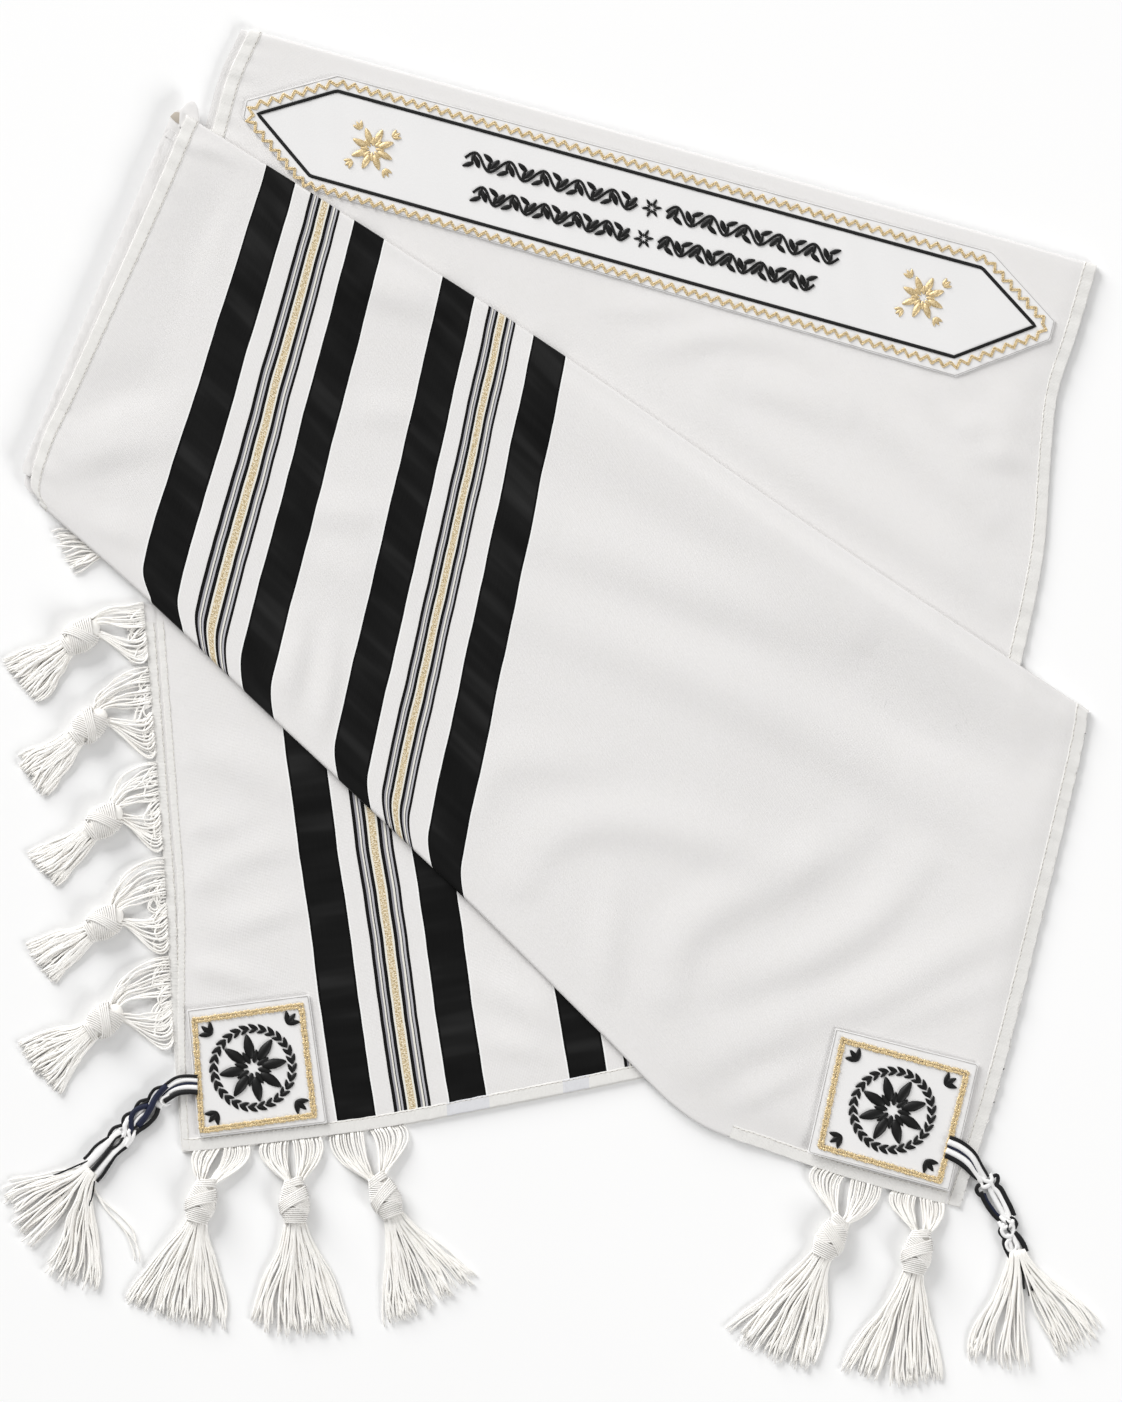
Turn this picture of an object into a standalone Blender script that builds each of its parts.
"""Tallit prayer shawl, folded twice and lying flat on a surface.

The tables are in millimetres and the scene in metres, +Z up, +X to the right and +Y away. The origin
is on the underside, below the middle of the front panel. Each cloth panel is one wall: a plan drawn
between its four edges, and a section along each of its columns that turns under at the folds.
"""

import math

import bmesh
import bpy
import numpy as np

MM = 0.001
GAP = 0.3  # air between pieces that lie on each other or meet at a seam
FLOOR_GAP = 0.35  # the tassels' lowest threads end this far above the surface

WALL = 1.6  # the cloth of the two large panels, with its turned fold
HEM_WIDTH = 8.0
HEM_RISE = 0.5  # a hem is three layers, so it stands this much higher than the cloth
HEM_STEPS = (0.0, HEM_WIDTH - 0.5, HEM_WIDTH + 1.0)  # the columns and rows that shape a hem
PATCH_THICK = 1.2

# Heights of the top of each layer above the surface
LOWER_SHEET_TOP = 1.5
LOWER_PANEL_UNDER = 1.8
LOWER_PANEL_TOP = 2.9
FRONT_HIDDEN_TOP = 3.0
BACK_HIDDEN_TOP = 2.4
BACK_TOP = 4.8
FRONT_REST = 4.7  # the front panel where it lies on the surface alone

# ---------------------------------------------------------------- the front panel, folded diagonally
FRONT_WIDTH = 645.0  # across the cloth, from hem to hem
FRONT_LOW_EDGE = (  # x, y: the lower fold, which becomes the bottom hem past x = 76
    (-311.0, 118.0),
    (-251.0, 64.5),
    (-178.0, -5.5),
    (-63.5, -113.0),
    (23.5, -199.0),
    (76.0, -249.5),
    (124.0, -269.5),
    (179.5, -288.0),
    (239.5, -304.0),
)
FRONT_HIGH_EDGE = (  # x, y: the upper fold
    (-224.0, 351.0),
    (-176.5, 321.5),
    (-106.0, 277.0),
    (3.0, 206.5),
    (158.5, 99.0),
    (316.0, -5.5),
)
FRONT_LEFT_HEM = (
    (-311.0, 118.0),
    (-317.5, 131.0),
    (-310.0, 158.5),
    (-294.0, 192.5),
    (-245.5, 300.5),
    (-224.0, 351.0),
)
FRONT_RIGHT_HEM = (
    (239.5, -304.0),
    (265.0, -222.5),
    (291.0, -119.5),
    (311.0, -35.5),
    (316.0, -5.5),
)
FRONT_COLUMNS = (  # where it is on the cloth, and how far along the lower and the upper edge it lies
    # across, low, high
    (0.0, 0.0, 0.0),
    (8.0, 6.0, 8.5),
    (73.0, 80.5, 56.0),
    (95.5, 106.5, 76.5),
    (160.0, 181.5, 139.5),
    (204.5, 234.0, 181.0),
    (291.5, 339.0, 269.5),
    (FRONT_WIDTH, 706.5, 647.5),
)
FRONT_HEIGHTS = (  # of the turned-under flaps' undersides, and of the top face at both folds and between
    # across, low_under, low_top, middle, high_top, high_under
    (0.0, 3.8, 8.0, 7.0, 10.0, 5.7),
    (30.0, 3.8, 8.7, 9.2, 10.3, 5.7),
    (400.0, 3.8, 8.7, 9.2, 10.3, 5.7),
    (440.0, 3.8, 8.2, 8.9, 10.2, 5.7),
    (462.0, 3.8, 7.7, 8.3, 10.1, 5.7),
    (502.0, 0.0, 4.9, 6.4, 10.0, 5.7),
    (540.0, 0.0, FRONT_REST, 4.8, 9.9, 5.7),
    (548.0, 0.0, FRONT_REST, FRONT_REST, 9.7, 5.5),
    (603.0, 0.0, FRONT_REST, FRONT_REST, 7.6, 3.5),
    (625.0, 0.0, FRONT_REST, FRONT_REST, 4.9, 0.0),
    (FRONT_WIDTH, 0.0, FRONT_REST, FRONT_REST, 4.8, 0.0),
)
FRONT_FLAP = 30.0  # the cloth turned under at each fold
FRONT_BLEND = (45.0, 105.0)  # how far in from the lower and the upper fold their own heights reach
END_BLEND = 20.0  # how far in from the folds the side hems lie flat
CALM = 30.0  # from the flaps' ends, over how far the soft folds rise
FRONT_HEM_FROM = 502.0  # past this column the lower edge is a hem, turned under by its own width
FRONT_DROOP = (635.0, 2.0, 1.1)  # from which column the right hem falls, by how much amid it and at its ends
FRONT_WAVES = (  # soft folds: middle across the cloth and up it, half length, half width, height, lean
    # across, up, long, wide, rise, lean
    (350.0, 190.0, 120.0, 26.0, 0.9, -40.0),
    (430.0, 140.0, 130.0, 24.0, -0.8, -38.0),
    (470.0, 195.0, 110.0, 26.0, 1.0, -42.0),
    (180.0, 95.0, 70.0, 20.0, -0.7, -60.0),
)

# ---------------------------------------------------------------- the back panel, with the neckband
BACK_WIDTH = 527.0
BACK_FOLD = ((-186.5, 403.0), (30.0, 343.0), (248.0, 282.5), (321.5, 261.5))
BACK_HIDDEN_END = 40.0  # how far it reaches in under the front panel's upper fold
BACK_HIDDEN_ENDS = (27.0, 612.5)  # and along that fold, where its two hems pass
BACK_LEFT_HEM = ((-186.5, 403.0), (-200.0, 375.0), (-209.5, 343.0), (-223.0, 304.0))
BACK_RIGHT_HEM = (
    (321.5, 261.5),
    (309.5, 220.5),
    (298.5, 186.5),
    (294.5, 150.5),
    (290.0, 88.0),
    (276.5, 22.5),
    (266.5, -17.0),
)
BACK_FLAP = 25.0
BACK_DROOP = (  # the right hem falls towards the surface: share of the way down, over what width, by how much
    # down, width, fall
    (0.0, 10.0, 0.9),
    (0.25, 14.0, 1.2),
    (0.5, 60.0, 2.4),
    (1.0, 60.0, 2.4),
)
BACK_WAVES = (
    # across, up, long, wide, rise, lean
    (430.0, 110.0, 110.0, 22.0, 0.9, -16.0),
    (400.0, 160.0, 90.0, 20.0, -0.7, -24.0),
    (290.0, 100.0, 80.0, 18.0, 0.7, -20.0),
)
NECKBAND_OUTLINE = (  # x, y, round from its left point
    (-191.0, 350.0),
    (-189.0, 360.5),
    (-134.0, 375.5),
    (259.0, 269.5),
    (296.5, 228.0),
    (293.5, 216.5),
    (236.5, 194.5),
    (-144.5, 305.5),
    (-162.5, 317.5),
)

# ---------------------------------------------------------------- the lower panel, two sheets
LOWER_LEFT_HEM = (
    (-227.5, -270.5),
    (-234.0, -183.5),
    (-237.0, -119.5),
    (-241.5, -59.5),
    (-251.0, 62.0),
    (-254.0, 111.5),
)
LOWER_BOTTOM_HEM = (
    (-227.5, -270.5),
    (-216.5, -270.5),
    (-144.0, -262.0),
    (-94.0, -254.5),
    (-0.5, -236.5),
    (60.0, -224.0),
)
LOWER_TOP_STEP = (7.6, 0.8, 1.0)  # how far in the upper sheet starts: at the left's top, its bottom, and below
LOWER_HIDDEN_END = 35.0  # how far both reach in under the front panel's lower fold

# ---------------------------------------------------------------- the embroidered corner patches
LEFT_PATCH = ((-222.5, -185.5), (-151.0, -176.5), (-140.5, -252.5), (-217.5, -261.5))
RIGHT_PATCH = ((165.0, -196.5), (250.5, -218.0), (233.0, -291.5), (148.5, -270.0))

# ---------------------------------------------------------------- layers hidden inside the two bundles
FRONT_HIDDEN = (  # x, y: it shows along the left hem, and lies between the flaps elsewhere
    (-235.0, 350.5),
    (-247.0, 328.0),
    (-304.0, 192.5),
    (-316.5, 163.0),
    (-323.0, 133.0),
    (-317.5, 124.0),
    (-302.0, 129.0),
    (-284.0, 147.5),
    (-180.0, 48.5),
    (62.0, -181.0),
    (112.0, -228.0),
    (122.0, -250.0),
    (222.0, -281.0),
    (247.0, -216.0),
    (272.0, -116.0),
    (284.0, -60.0),
    (266.0, -24.0),
    (100.0, 88.0),
    (-100.0, 221.0),
    (-228.0, 305.0),
    (-217.5, 350.0),
    (-221.5, 360.0),
    (-228.0, 358.0),
)
FRONT_HIDDEN_UPPER = (
    (-262.0, 134.0),
    (-205.0, 80.0),
    (-60.0, -58.0),
    (68.0, -180.0),
    (102.0, 84.0),
    (0.0, 151.0),
    (-100.0, 217.0),
    (-226.0, 300.0),
    (-250.0, 240.0),
)
BACK_HIDDEN = (
    (-201.0, 371.0),
    (40.0, 301.0),
    (285.0, 230.0),
    (280.0, 206.0),
    (226.0, 150.0),
    (198.0, 35.0),
    (0.0, 161.5),
    (-195.0, 291.0),
    (-207.5, 322.0),
    (-214.5, 350.0),
)
LAYER_STEP = 2.0  # each layer of a stack starts this far inside the one below

# ---------------------------------------------------------------- tassels and corner cords
TASSELS = (  # places on the surface: the knot's middle, the ends of its roots' stretch of hem, and of the fan
    # name, knot, root_1, root_2, fan_1, fan_2
    ("tassel_left_1", (-288.0, 39.0), (-251.6, 60.0), (-248.6, 25.5), (-335.0, 24.5), (-314.0, -1.0)),
    ("tassel_left_2", (-283.0, -14.5), (-248.6, 21.0), (-244.0, -32.0), (-327.0, -33.5), (-309.0, -57.5)),
    ("tassel_left_3", (-274.0, -72.0), (-243.8, -35.5), (-239.8, -90.0), (-320.0, -91.0), (-302.0, -111.0)),
    ("tassel_left_4", (-274.0, -133.0), (-239.3, -93.5), (-236.2, -149.0), (-321.5, -147.0), (-303.5, -170.0)),
    ("tassel_left_5", (-274.0, -191.5), (-236.1, -152.5), (-233.4, -206.0), (-326.0, -205.0), (-301.0, -237.0)),
    ("tassel_bottom_1", (-215.5, -299.5), (-220.5, -271.1), (-187.0, -267.8), (-263.0, -359.5), (-201.5, -376.0)),
    ("tassel_bottom_2", (-160.0, -299.5), (-181.0, -267.2), (-143.5, -262.8), (-187.0, -374.5), (-128.0, -377.5)),
    ("tassel_bottom_3", (-106.0, -296.5), (-139.0, -262.2), (-94.0, -255.4), (-107.5, -374.5), (-51.5, -347.0)),
    ("tassel_right_1", (162.5, -321.5), (151.0, -279.9), (193.0, -292.9), (98.5, -377.5), (154.0, -401.5)),
    ("tassel_right_2", (214.0, -330.0), (198.0, -294.4), (230.5, -302.6), (168.0, -401.5), (230.0, -408.5)),
)
KNOT_RINGS = (  # how far from the knot's middle towards its strands, half its width and height, how high it lies
    # along, half_wide, half_high, height
    (-15.0, 3.4, 2.4, 3.4),
    (-9.5, 7.0, 4.4, 5.0),
    (-1.5, 9.6, 5.4, 5.8),
    (6.5, 8.8, 4.8, 5.2),
    (12.5, 7.2, 3.8, 4.3),
)
ROOT_THICK = 2.2
LOCK_SPREAD = 0.2  # how much of its width at the hem a root lock keeps where it meets the knot
STRAND_GAP = 0.2  # each strand's root is this much narrower all round than its share of the knot's end
STRAND_STEPS = (  # the share of its way, of its root's width and height that is left, and of its fall
    # along, width, height, sunk
    (0.42, 0.55, 0.32, 0.62),
    (1.0, 0.42, 0.5, 1.0),
)
FAN_BULGE = 0.09  # the middle threads reach this much further than the line between a fan's ends
CORD_RINGS_LEFT = (  # the tied corner cords: x, y, height of the middle, half width, half height
    # x, y, height, half_wide, half_high
    (-224.2, -230.0, 4.9, 5.6, 1.0),
    (-233.5, -232.5, 4.9, 5.0, 1.1),
    (-242.5, -241.0, 3.0, 4.6, 2.2),
    (-250.5, -247.0, 2.9, 4.0, 2.3),
    (-258.0, -252.5, 3.4, 5.6, 2.9),
    (-266.0, -263.0, 3.2, 4.4, 2.6),
    (-275.0, -271.5, 3.4, 5.4, 2.8),
    (-283.5, -281.5, 3.6, 5.2, 3.0),
)
CORD_FANS_LEFT = (((-336.5, -290.5), (-317.5, -330.5)), ((-313.0, -342.0), (-266.0, -349.0)))
CORD_RINGS_RIGHT = (
    # x, y, height, half_wide, half_high
    (241.0, -271.2, 6.6, 5.6, 1.0),
    (249.5, -279.5, 6.1, 5.0, 1.1),
    (256.5, -290.0, 3.5, 5.0, 2.7),
    (261.0, -296.5, 3.0, 4.0, 2.3),
    (265.5, -305.0, 3.3, 5.4, 2.8),
    (269.0, -314.5, 3.1, 4.2, 2.5),
    (271.5, -322.0, 3.4, 5.2, 2.9),
    (274.5, -331.0, 3.6, 5.0, 3.0),
)
CORD_FANS_RIGHT = (((243.5, -392.5), (288.5, -399.0)), ((293.0, -396.5), (327.5, -375.5)))
HIDDEN_TASSEL_RINGS = (  # the tassel beneath the lower fold, pressed flat under the cloth
    # x, y, height, half_wide, half_high
    (-257.0, 93.0, 1.8, 5.0, 1.0),
    (-265.0, 94.0, 1.8, 5.5, 1.2),
    (-274.0, 93.5, 1.8, 5.5, 1.3),
)
HIDDEN_TASSEL_FANS = (((-304.0, 103.0), (-291.5, 76.0)),)

WHITE_CLOTH = ("white_cloth", (0.86, 0.85, 0.82), 0.62)
WHITE_YARN = ("white_yarn", (0.82, 0.80, 0.74), 0.8)
WHITE_BAND = ("white_band", (0.84, 0.84, 0.83), 0.5)
CORD_YARN = ("cord_yarn", (0.62, 0.62, 0.64), 0.7)


# ---------------------------------------------------------------- small tools


def material(name, colour, roughness):
    found = bpy.data.materials.get(name) or bpy.data.materials.new(name)
    found.use_nodes = True
    shader = found.node_tree.nodes["Principled BSDF"]
    shader.inputs["Base Color"].default_value = (*colour, 1)
    shader.inputs["Roughness"].default_value = roughness
    return found


def add_object(name, bm, looks):
    """The finished mesh as an object, its millimetres made metres and its faces turned outwards."""
    bmesh.ops.scale(bm, vec=(MM, MM, MM), verts=bm.verts)
    bmesh.ops.recalc_face_normals(bm, faces=bm.faces)
    mesh = bpy.data.meshes.new(name)
    bm.to_mesh(mesh)
    bm.free()
    mesh.shade_smooth()
    mesh.set_sharp_from_angle(angle=math.radians(40))
    mesh.materials.append(material(*looks))
    obj = bpy.data.objects.new(name, mesh)
    bpy.context.scene.collection.objects.link(obj)
    return obj


def curve(points):
    """A smooth line through the points, as a function of the distance along it. curve.length is its length."""
    p = np.array(points, float)
    ends = np.vstack([2 * p[0] - p[1], p, 2 * p[-1] - p[-2]])
    f = np.linspace(0, 1, 16, endpoint=False)[:, None]
    pieces = [
        0.5 * (2 * b + (c - a) * f + (2 * a - 5 * b + 4 * c - d) * f**2 + (3 * b - a - 3 * c + d) * f**3)
        for a, b, c, d in zip(ends, ends[1:], ends[2:], ends[3:])
    ]
    fine = np.vstack([*pieces, p[-1:]])
    run = np.concatenate([[0], np.cumsum(np.linalg.norm(np.diff(fine, axis=0), axis=1))])

    def at(distance):
        return np.array([np.interp(distance, run, fine[:, k]) for k in (0, 1)])

    at.length = run[-1]
    return at


def column_of(table, across):
    """The table's other columns at this place, straight between its rows."""
    rows = np.array(table, float)
    return [np.interp(across, rows[:, 0], rows[:, k]) for k in range(1, rows.shape[1])]


def ease(x):
    """1 at 0, falling softly to 0 at 1 and beyond."""
    x = min(max(x, 0.0), 1.0)
    return (1 - x) ** 2 * (1 + 2 * x)


def inwards(edge, distance, depth):
    """The place this far along an edge and this deep to its right-hand side."""
    here, ahead = edge(distance), edge(min(distance + 1, edge.length))
    if distance + 1 > edge.length:
        here, ahead = edge(distance - 1), edge(distance)
    run = (ahead - here) / np.linalg.norm(ahead - here)
    return edge(distance) + depth * np.array([run[1], -run[0]])


def side_bulge(hem, share):
    """How far a curved hem lies from the straight line between its ends."""
    start, end = hem(0), hem(hem.length)
    return hem(share * hem.length) - (start + (end - start) * share)


def wave_height(waves, across, up):
    """The soft folds' height here. Each is a long ridge, or a trough where its rise is negative."""
    height = 0.0
    for middle, level, long, wide, rise, lean in waves:
        turn = math.radians(lean)
        x, y = across - middle, up - level
        along = (x * math.cos(turn) + y * math.sin(turn)) / long
        aside = (y * math.cos(turn) - x * math.sin(turn)) / wide
        height += rise * ease(abs(along)) * ease(abs(aside))
    return height


def add_wall(name, outer, inner, looks):
    """A closed wall between two faces, each a grid of points with a row for each section."""
    rows, steps = len(outer), len(outer[0])
    bm = bmesh.new()
    grids = [[[bm.verts.new(point) for point in row] for row in face] for face in (outer, inner)]
    for grid in grids:
        for i in range(rows - 1):
            for j in range(steps - 1):
                bm.faces.new((grid[i][j], grid[i][j + 1], grid[i + 1][j + 1], grid[i + 1][j]))
    out, back = grids
    for i in (0, rows - 1):
        for j in range(steps - 1):
            bm.faces.new((out[i][j], out[i][j + 1], back[i][j + 1], back[i][j]))
    for j in (0, steps - 1):
        for i in range(rows - 1):
            bm.faces.new((out[i][j], out[i + 1][j], back[i + 1][j], back[i][j]))
    return add_object(name, bm, looks)


def fold_turn(under, top):
    """(inset, outer height), (inset, inner height) round a fold's half circle, from its underside up."""
    radius, middle = (top - under) / 2, (top + under) / 2
    small = radius - WALL
    angles = [math.radians(a) for a in (-90, -45, 0, 45, 90)]
    outer = [(radius - radius * math.cos(a), middle + radius * math.sin(a)) for a in angles]
    inner = [(radius - small * math.cos(a), middle + small * math.sin(a)) for a in angles]
    return outer, inner


def inset_outline(points, inset):
    """The closed outline moved inwards by this much."""
    p = np.array(points, float)
    x, y = p[:, 0], p[:, 1]
    turn = np.sign(np.sum(x * np.roll(y, -1) - np.roll(x, -1) * y))
    step = np.roll(p, -1, axis=0) - p
    step /= np.linalg.norm(step, axis=1)[:, None]
    normal = turn * np.stack([-step[:, 1], step[:, 0]], axis=1)
    before = np.roll(normal, 1, axis=0)
    return p + inset * (normal + before) / (1 + np.sum(normal * before, axis=1))[:, None]


def round_outline(points, radius=5.0):
    """The closed outline with each corner cut to a short arc of three points."""
    p = np.array(points, float)
    rounded = []
    for before, corner, after in zip(np.roll(p, 1, axis=0), p, np.roll(p, -1, axis=0)):
        reach = min(radius, 0.4 * np.linalg.norm(before - corner), 0.4 * np.linalg.norm(after - corner))
        start = corner + (before - corner) / np.linalg.norm(before - corner) * reach
        end = corner + (after - corner) / np.linalg.norm(after - corner) * reach
        rounded += [start, (start + end + 2 * corner) / 4, end]
    return rounded


def stacked_mesh(outline, steps):
    """The outline drawn at each step's height and inset, from the bottom up, as one closed mesh."""
    bm = bmesh.new()
    rings = [
        [bm.verts.new((x, y, height)) for x, y in inset_outline(outline, inset)] for height, inset in steps
    ]
    for lower, upper in zip(rings, rings[1:]):
        for k in range(len(lower)):
            after = (k + 1) % len(lower)
            bm.faces.new((lower[k], lower[after], upper[after], upper[k]))
    bm.faces.new(rings[0][::-1])
    bm.faces.new(rings[-1])
    return bm


def layered_mesh(outline, bottom, top, layers):
    """A stack of rounded layers, each starting LAYER_STEP inside the one below."""
    thick = (top - bottom) / layers
    edge = 0.3 * thick
    steps = []
    for layer in range(layers):
        base, step = bottom + layer * thick, layer * LAYER_STEP
        steps += [(base, step + edge), (base + edge, step)]
        steps += [(base + thick - edge, step), (base + thick, step + edge)]
    return stacked_mesh(outline, steps)


def add_sewn_piece(name, corners, under):
    """A flat piece sewn on a panel, the edge of its top turned down."""
    turn = 0.4
    steps = ((under, 0), (under + PATCH_THICK - turn, 0), (under + PATCH_THICK, turn))
    return add_object(name, stacked_mesh(round_outline(corners, 2.0), steps), WHITE_BAND)


# ---------------------------------------------------------------- the front panel


def front_plan():
    """The panel's plan, as a function of the distance across the cloth and of the share of the way up."""
    low, high = curve(FRONT_LOW_EDGE), curve(FRONT_HIGH_EDGE)
    left, right = curve(FRONT_LEFT_HEM), curve(FRONT_RIGHT_HEM)

    def at(across, up):
        low_run, high_run = column_of(FRONT_COLUMNS, across)
        start, end = low(low_run), high(high_run)
        bulge = side_bulge(left, up) * max(0, 1 - across / 120)
        bulge = bulge + side_bulge(right, up) * max(0, 1 - (FRONT_WIDTH - across) / 120)
        return start + (end - start) * up + bulge

    return at


def front_height(across, from_low, from_high):
    """The top face's height, from the distances to the two folds."""
    _, low_top, middle, high_top, _ = column_of(FRONT_HEIGHTS, across)
    low_blend, high_blend = FRONT_BLEND
    height = middle + (low_top - middle) * ease(from_low / low_blend)
    height += (high_top - middle) * ease(from_high / high_blend)
    droop_from, most, least = FRONT_DROOP
    ends = max(ease(from_low / END_BLEND), ease(from_high / END_BLEND))
    height -= (most + (least - most) * ends) * (1 - ease((across - droop_from) / (FRONT_WIDTH - droop_from)))
    if across <= HEM_WIDTH or across >= FRONT_WIDTH - HEM_WIDTH:
        height += HEM_RISE * (1 - ends)
    if across > FRONT_HEM_FROM and 3 < from_low < HEM_WIDTH:
        height += HEM_RISE
    calm = 1 - max(ease((from_low - FRONT_FLAP) / CALM), ease((from_high - FRONT_FLAP) / CALM))
    return height + calm * wave_height(FRONT_WAVES, across, from_low)


def front_section(plan, across):
    """The panel's two faces along one column, from the end of one turned-under flap to that of the other."""
    low_under, _, _, _, high_under = column_of(FRONT_HEIGHTS, across)
    length = np.linalg.norm(plan(across, 1) - plan(across, 0))
    low_flap = FRONT_FLAP
    if across >= FRONT_HEM_FROM:
        low_flap = HEM_WIDTH
    low_outer, low_inner = fold_turn(low_under, front_height(across, 0, length))
    high_outer, high_inner = fold_turn(high_under, front_height(across, length, 0))
    near = (*HEM_STEPS[1:], 22.0, 42.0)
    between = [length * share for share in (0.28, 0.4, 0.52, 0.64, 0.76)]
    inside = [*near, *between, length - 30.0, length - 12.0]
    top = [(place, front_height(across, place, length - place)) for place in inside]

    def along(low_side, high_side, low_lift, high_lift, sink):
        points = [(low_flap, low_lift), *low_side, *((d, z - sink) for d, z in top)]
        points += [(length - d, z) for d, z in reversed(high_side)]
        points.append((length - FRONT_FLAP, high_lift))
        return [(*plan(across, d / length), z) for d, z in points]

    outer = along(low_outer, high_outer, low_under, high_under, 0)
    inner = along(low_inner, high_inner, low_under + WALL, high_under + WALL, WALL)
    return outer, inner


def add_front_panel():
    plan = front_plan()
    columns = [*HEM_STEPS, 20, 45, 73, 95, 125, 150, 180, 205, 230, 260, 290, 320, 350, 380, 410, 440]
    columns += [461, 480, 502.5, 520, 545, 575, 602, 625, 634, 637.5, FRONT_WIDTH]
    sections = [front_section(plan, across) for across in columns]
    return add_wall("front_panel", [s[0] for s in sections], [s[1] for s in sections], WHITE_CLOTH)


# ---------------------------------------------------------------- the back panel


def back_plan():
    """The panel's plan, as a function of the distance across the cloth and of the share of the way down."""
    fold, under = curve(BACK_FOLD), curve(FRONT_HIGH_EDGE)
    left, right = curve(BACK_LEFT_HEM), curve(BACK_RIGHT_HEM)
    first, last = BACK_HIDDEN_ENDS

    def at(across, down):
        share = across / BACK_WIDTH
        start = fold(share * fold.length)
        end = inwards(under, first + (last - first) * share, BACK_HIDDEN_END)
        bulge = side_bulge(left, down) * max(0, 1 - across / 80)
        bulge = bulge + side_bulge(right, down) * max(0, 1 - (BACK_WIDTH - across) / 100)
        return start + (end - start) * down + bulge

    return at


def back_height(across, from_fold, length):
    """The top face's height, from the distance to the fold and the panel's length along this column."""
    width, fall = column_of(BACK_DROOP, from_fold / length)
    height = BACK_TOP - fall * (1 - ease((across - BACK_WIDTH + width) / width))
    if from_fold > 6 and (across <= HEM_WIDTH or across >= BACK_WIDTH - HEM_WIDTH):
        height += HEM_RISE
    calm = (1 - ease((length - from_fold - BACK_HIDDEN_END - 8) / 40)) * (1 - ease((from_fold - 74) / 30))
    return height + calm * wave_height(BACK_WAVES, across, from_fold)


def back_section(plan, across):
    """The panel's two faces along one column, from the end of its turned-under flap to the hidden end."""
    length = np.linalg.norm(plan(across, 1) - plan(across, 0))
    turn_outer, turn_inner = fold_turn(0, back_height(across, 0, length))
    inside = [12.0, *(24 + (length - 24) * share for share in np.linspace(0, 1, 12))]
    top = [(place, back_height(across, place, length)) for place in inside]

    def along(turn, lift, sink):
        points = [(BACK_FLAP, lift), *turn, *((d, z - sink) for d, z in top)]
        return [(*plan(across, d / length), z) for d, z in points]

    return along(turn_outer, 0, 0), along(turn_inner, WALL, WALL)


def add_back_panel():
    plan = back_plan()
    columns = [*HEM_STEPS, 30, 65, 100, 140, 180, 220, 260, 295, 325, 355, 385, 415, 445, 468, 492]
    columns += [506, 516, 519.5, BACK_WIDTH]
    sections = [back_section(plan, across) for across in columns]
    return add_wall("back_panel", [s[0] for s in sections], [s[1] for s in sections], WHITE_CLOTH)


# ---------------------------------------------------------------- the lower panel


def add_lower_sheet(name, under, top, left_steps, bottom_step, hem_rise):
    """One flat sheet of the lower panel, its left and bottom hems raised by hem_rise."""
    left, bottom = curve(LOWER_LEFT_HEM), curve(LOWER_BOTTOM_HEM)
    fold = curve(FRONT_LOW_EDGE)
    start = inwards(fold, 0, -LOWER_HIDDEN_END)
    end = inwards(fold, 400, -LOWER_HIDDEN_END)
    slope = (end - start)[1] / (end - start)[0]
    outer, inner = [], []
    for across in (*HEM_STEPS, *np.linspace(35, bottom.length, 9)):
        share = across / bottom.length
        low = bottom(across) + (0, bottom_step)
        high_x = left(left.length)[0] + share * (bottom(bottom.length)[0] - left(left.length)[0])
        high = np.array([high_x, start[1] + slope * (high_x - start[0])])
        length = np.linalg.norm(high - low)
        row = []
        for up in (*HEM_STEPS, *np.linspace(9, length, 6)[1:]):
            part = up / length
            step = left_steps[1] + (left_steps[0] - left_steps[1]) * (1 - ease(part / 0.45))
            bulge = (side_bulge(left, part) + (step, 0)) * max(0, 1 - share * 1.6)
            place = low + (high - low) * part + bulge
            hem = hem_rise if min(across, up) <= HEM_WIDTH else 0
            row.append((*place, top + hem))
        outer.append(row)
        inner.append([(x, y, under) for x, y, _ in row])
    return add_wall(name, outer, inner, WHITE_CLOTH)


# ---------------------------------------------------------------- tassels and corner cords


def ring_places(ring, side, columns):
    """The ring's points by their place in a grid of columns by two rows, drawn out to an oval."""
    (x, y, height), wide, high = ring[:3], ring[3], ring[4]
    places = {}
    for i in range(columns + 1):
        for j in range(3):
            a, b = 2 * i / columns - 1, j - 1
            aside = a * math.sqrt(1 - b * b / 2) * wide
            lift = b * math.sqrt(1 - a * a / 2) * high
            places[i, j] = (x + side[0] * aside, y + side[1] * aside, height + lift)
    return places


def loft_head(bm, rings, columns):
    """The knot or cord as a closed body. Returns the grid of points at its first ring and at its last."""
    middles = np.array([ring[:2] for ring in rings], float)
    runs = np.gradient(middles, axis=0)
    runs /= np.linalg.norm(runs, axis=1)[:, None]
    rim = [(i, 0) for i in range(columns)] + [(columns, 0), (columns, 1)]
    rim += [(i, 2) for i in range(columns, 0, -1)] + [(0, 2), (0, 1)]
    grids = []
    for k, ring in enumerate(rings):
        places = ring_places(ring, (-runs[k][1], runs[k][0]), columns)
        whole = k == len(rings) - 1
        grids.append({key: bm.verts.new(place) for key, place in places.items() if whole or key in rim})
    for lower, upper in zip(grids, grids[1:]):
        for key, after in zip(rim, rim[1:] + rim[:1]):
            bm.faces.new((lower[key], lower[after], upper[after], upper[key]))
    return grids[0], grids[-1], rim


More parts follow.
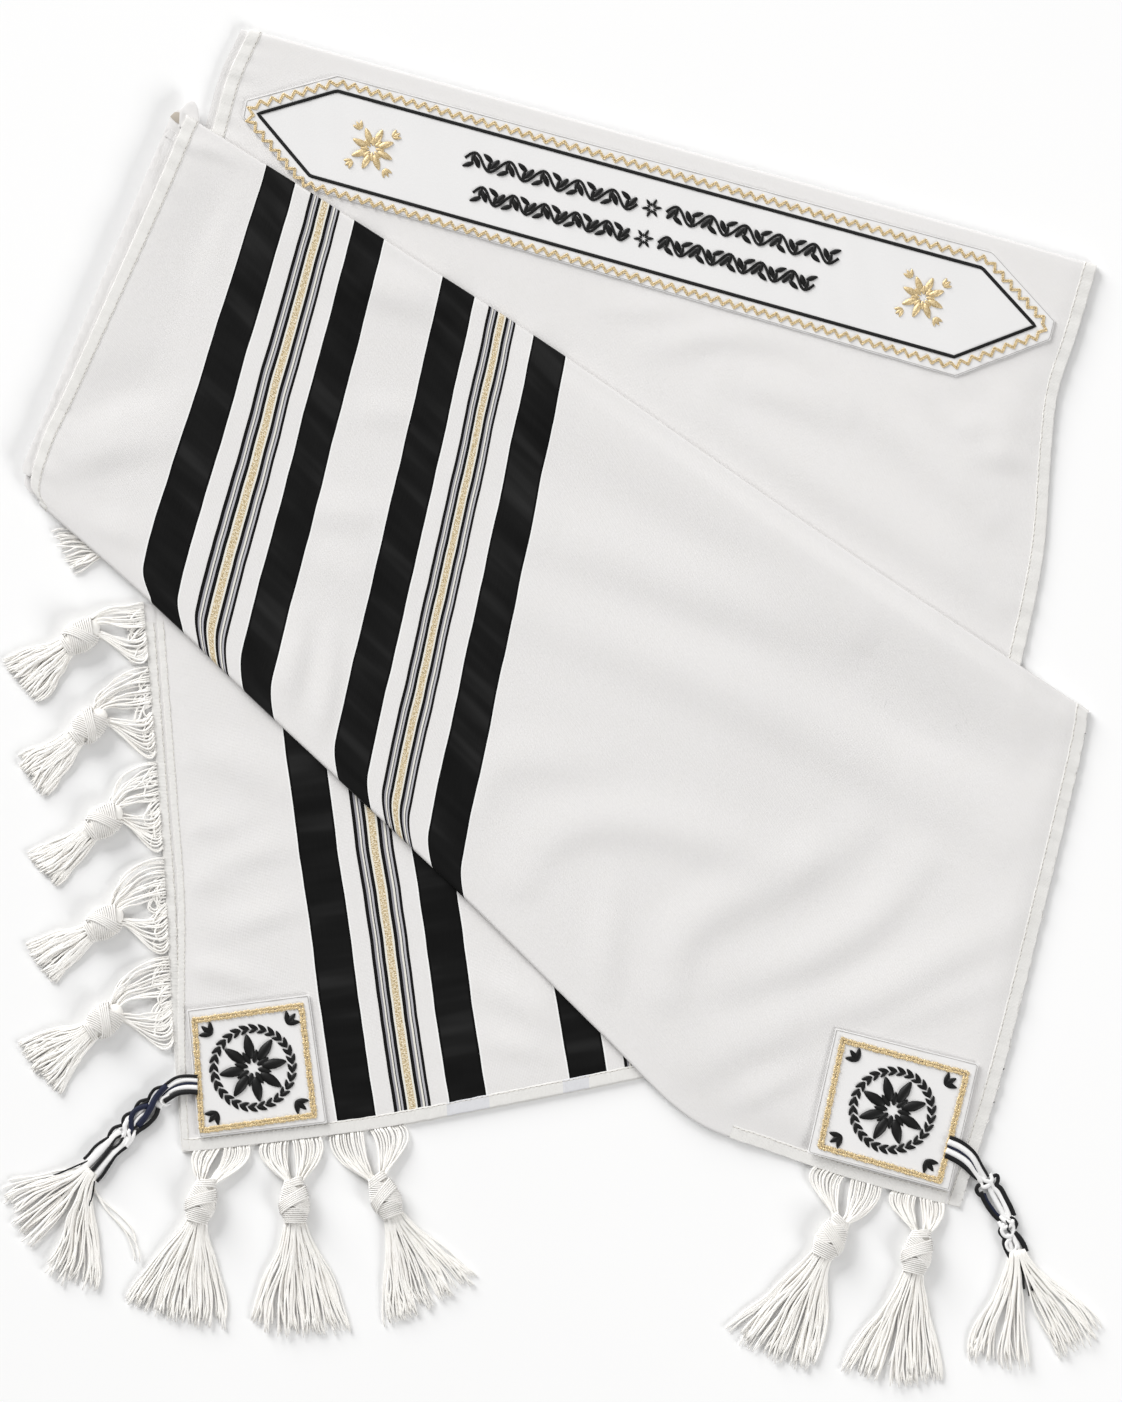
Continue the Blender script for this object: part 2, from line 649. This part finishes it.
def grow_strands(bm, grid, columns, fans):
    """A three-sided strand from each triangle of the last ring's face, spread over the fans."""
    cells = []
    for i in range(columns):
        for j in range(2):
            a, b, c, d = grid[i, j], grid[i + 1, j], grid[i + 1, j + 1], grid[i, j + 1]
            into_middle = (i < columns / 2) == (j == 0)  # the cut that leaves no sliver at a rounded corner
            halves = ((a, b, c), (a, c, d)) if into_middle else ((a, b, d), (b, c, d))
            cells += [(i, face) for face in (bm.faces.new(half) for half in halves)]
    bmesh.ops.inset_individual(bm, faces=[face for _, face in cells], thickness=STRAND_GAP)
    across = np.subtract(fans[-1][1], fans[0][0])
    order = np.sign(np.dot(across, np.subtract(grid[columns, 1].co[:2], grid[0, 1].co[:2])))
    cells.sort(key=lambda cell: (order * cell[0], np.dot(across, cell[1].calc_center_median()[:2])))
    share = len(cells) // len(fans)
    for k, (_, face) in enumerate(cells):
        fan = fans[min(k // share, len(fans) - 1)]
        place = (k % share + 0.5) / share
        tip = np.array(fan[0]) + (np.array(fan[1]) - fan[0]) * place
        outwards = tip - np.array(grid[columns // 2, 1].co[:2])
        tip += outwards * FAN_BULGE * (1 - (2 * place - 1) ** 2)
        uneven = 1 - 0.05 * math.sin(7.3 * k)  # cut ends aren't level
        draw_strand(bm, face, tip, uneven)


def draw_strand(bm, face, tip, uneven):
    """The face drawn out step by step to its tip, narrowing, turned flat and sinking to the surface."""
    root = np.array(face.calc_center_median())
    corners = [np.array(v.co) - root for v in face.verts]
    size = max(np.linalg.norm(corner) for corner in corners)
    end = np.array([*(root[:2] + (tip - root[:2]) * uneven), FLOOR_GAP + 0.5 * size])
    for along, width, height, sunk in STRAND_STEPS:
        face = bmesh.ops.extrude_discrete_faces(bm, faces=[face])["faces"][0]
        middle = root + (end - root) * (along, along, sunk)
        for vert, corner in zip(face.verts, corners):
            vert.co = middle + corner * (width, width, height)


def grow_root(bm, verts, hem_1, hem_2, hem_height):
    """A flat lock of fringe threads from the knot's neck to its stretch of hem."""
    face = bm.faces.new(verts)
    root = np.array(face.calc_center_median())
    corners = [np.array(v.co) - root for v in face.verts]
    hem_middle = (np.array(hem_1) + hem_2) / 2
    along_hem = (np.array(hem_2) - hem_1) / 2
    asides = np.array([np.dot(c[:2], along_hem) for c in corners])
    asides = 2 * (asides - asides.min()) / (asides.max() - asides.min()) - 1
    lifts = np.array([c[2] for c in corners])
    lifts = lifts / np.abs(lifts).max()
    for part in (0.45, 1.0):
        face = bmesh.ops.extrude_discrete_faces(bm, faces=[face])["faces"][0]
        middle = root[:2] + (hem_middle - root[:2]) * part
        height = root[2] + (hem_height - root[2]) * part
        spread = LOCK_SPREAD + (1 - LOCK_SPREAD) * part
        for vert, aside, lift in zip(face.verts, asides, lifts):
            place = middle + spread * aside * along_hem
            vert.co = (*place, height + lift * ROOT_THICK / 2)


def add_tassel(name, knot, root_1, root_2, fan_1, fan_2):
    """A knotted tassel: two locks of fringe from the hem, the knot, and its strands spread on the surface."""
    columns = 4
    knot, root_1, root_2 = np.array(knot), np.array(root_1), np.array(root_2)
    run = (np.array(fan_1) + fan_2) / 2 - knot
    run /= np.linalg.norm(run)
    rings = [(*(knot + run * along), height, wide, high) for along, wide, high, height in KNOT_RINGS]
    bm = bmesh.new()
    start, end, rim = loft_head(bm, rings, columns)
    half = columns // 2
    left = [start[key] for key in rim if key[0] <= half]
    right = [start[key] for key in rim if key[0] >= half]
    across = np.array([-run[1], run[0]])
    if np.dot(root_2 - root_1, across) < 0:
        root_1, root_2 = root_2, root_1
    lock = 0.4 * (root_2 - root_1)
    height = 0.5 * ROOT_THICK + FLOOR_GAP + 0.2
    grow_root(bm, left, root_1, root_1 + lock, height)
    grow_root(bm, right, root_2 - lock, root_2, height)
    grow_strands(bm, end, columns, ((fan_1, fan_2),))
    return add_object(name, bm, WHITE_YARN)


def add_cords(name, rings, fans, columns, looks):
    """Tied corner cords along their way, ending in the strands of one or two fans."""
    bm = bmesh.new()
    start, end, rim = loft_head(bm, rings, columns)
    bm.faces.new([start[key] for key in rim])
    grow_strands(bm, end, columns, fans)
    return add_object(name, bm, looks)


# ---------------------------------------------------------------- the whole shawl


def add_hidden_layers():
    """The layers inside each bundle: one rounded stack under the front panel and one under the back."""
    front_outline = round_outline(FRONT_HIDDEN)
    front = add_object("front_hidden_layers", layered_mesh(front_outline, 0, FRONT_HIDDEN_TOP, 2), WHITE_CLOTH)
    upper_outline = round_outline(FRONT_HIDDEN_UPPER, 12)
    upper = add_object("front_upper_layers", layered_mesh(upper_outline, 2.2, 6.8, 3), WHITE_CLOTH)
    upper.hide_render = True
    upper.display_type = "WIRE"
    join = front.modifiers.new("upper layers", "BOOLEAN")
    join.operation = "UNION"
    join.object = upper
    back_outline = round_outline(BACK_HIDDEN)
    add_object("back_hidden_layers", layered_mesh(back_outline, 0, BACK_HIDDEN_TOP, 2), WHITE_CLOTH)


def build():
    for obj in list(bpy.data.objects):
        bpy.data.objects.remove(obj)
    add_hidden_layers()
    add_back_panel()
    add_sewn_piece("neckband", NECKBAND_OUTLINE, BACK_TOP + GAP)
    add_lower_sheet("lower_panel_bottom", 0, LOWER_SHEET_TOP, (0, 0), 0, 0)
    left_top, left_bottom, bottom = LOWER_TOP_STEP
    add_lower_sheet(
        "lower_panel_top", LOWER_PANEL_UNDER, LOWER_PANEL_TOP, (left_top, left_bottom), bottom, HEM_RISE
    )
    add_front_panel()
    add_sewn_piece("corner_patch_left", LEFT_PATCH, LOWER_PANEL_TOP + HEM_RISE + GAP)
    add_sewn_piece("corner_patch_right", RIGHT_PATCH, FRONT_REST + HEM_RISE + GAP)
    for tassel in TASSELS:
        add_tassel(*tassel)
    add_cords("tassel_left_hidden", HIDDEN_TASSEL_RINGS, HIDDEN_TASSEL_FANS, 3, WHITE_YARN)
    add_cords("corner_cords_left", CORD_RINGS_LEFT, CORD_FANS_LEFT, 6, CORD_YARN)
    add_cords("corner_cords_right", CORD_RINGS_RIGHT, CORD_FANS_RIGHT, 6, CORD_YARN)


build()
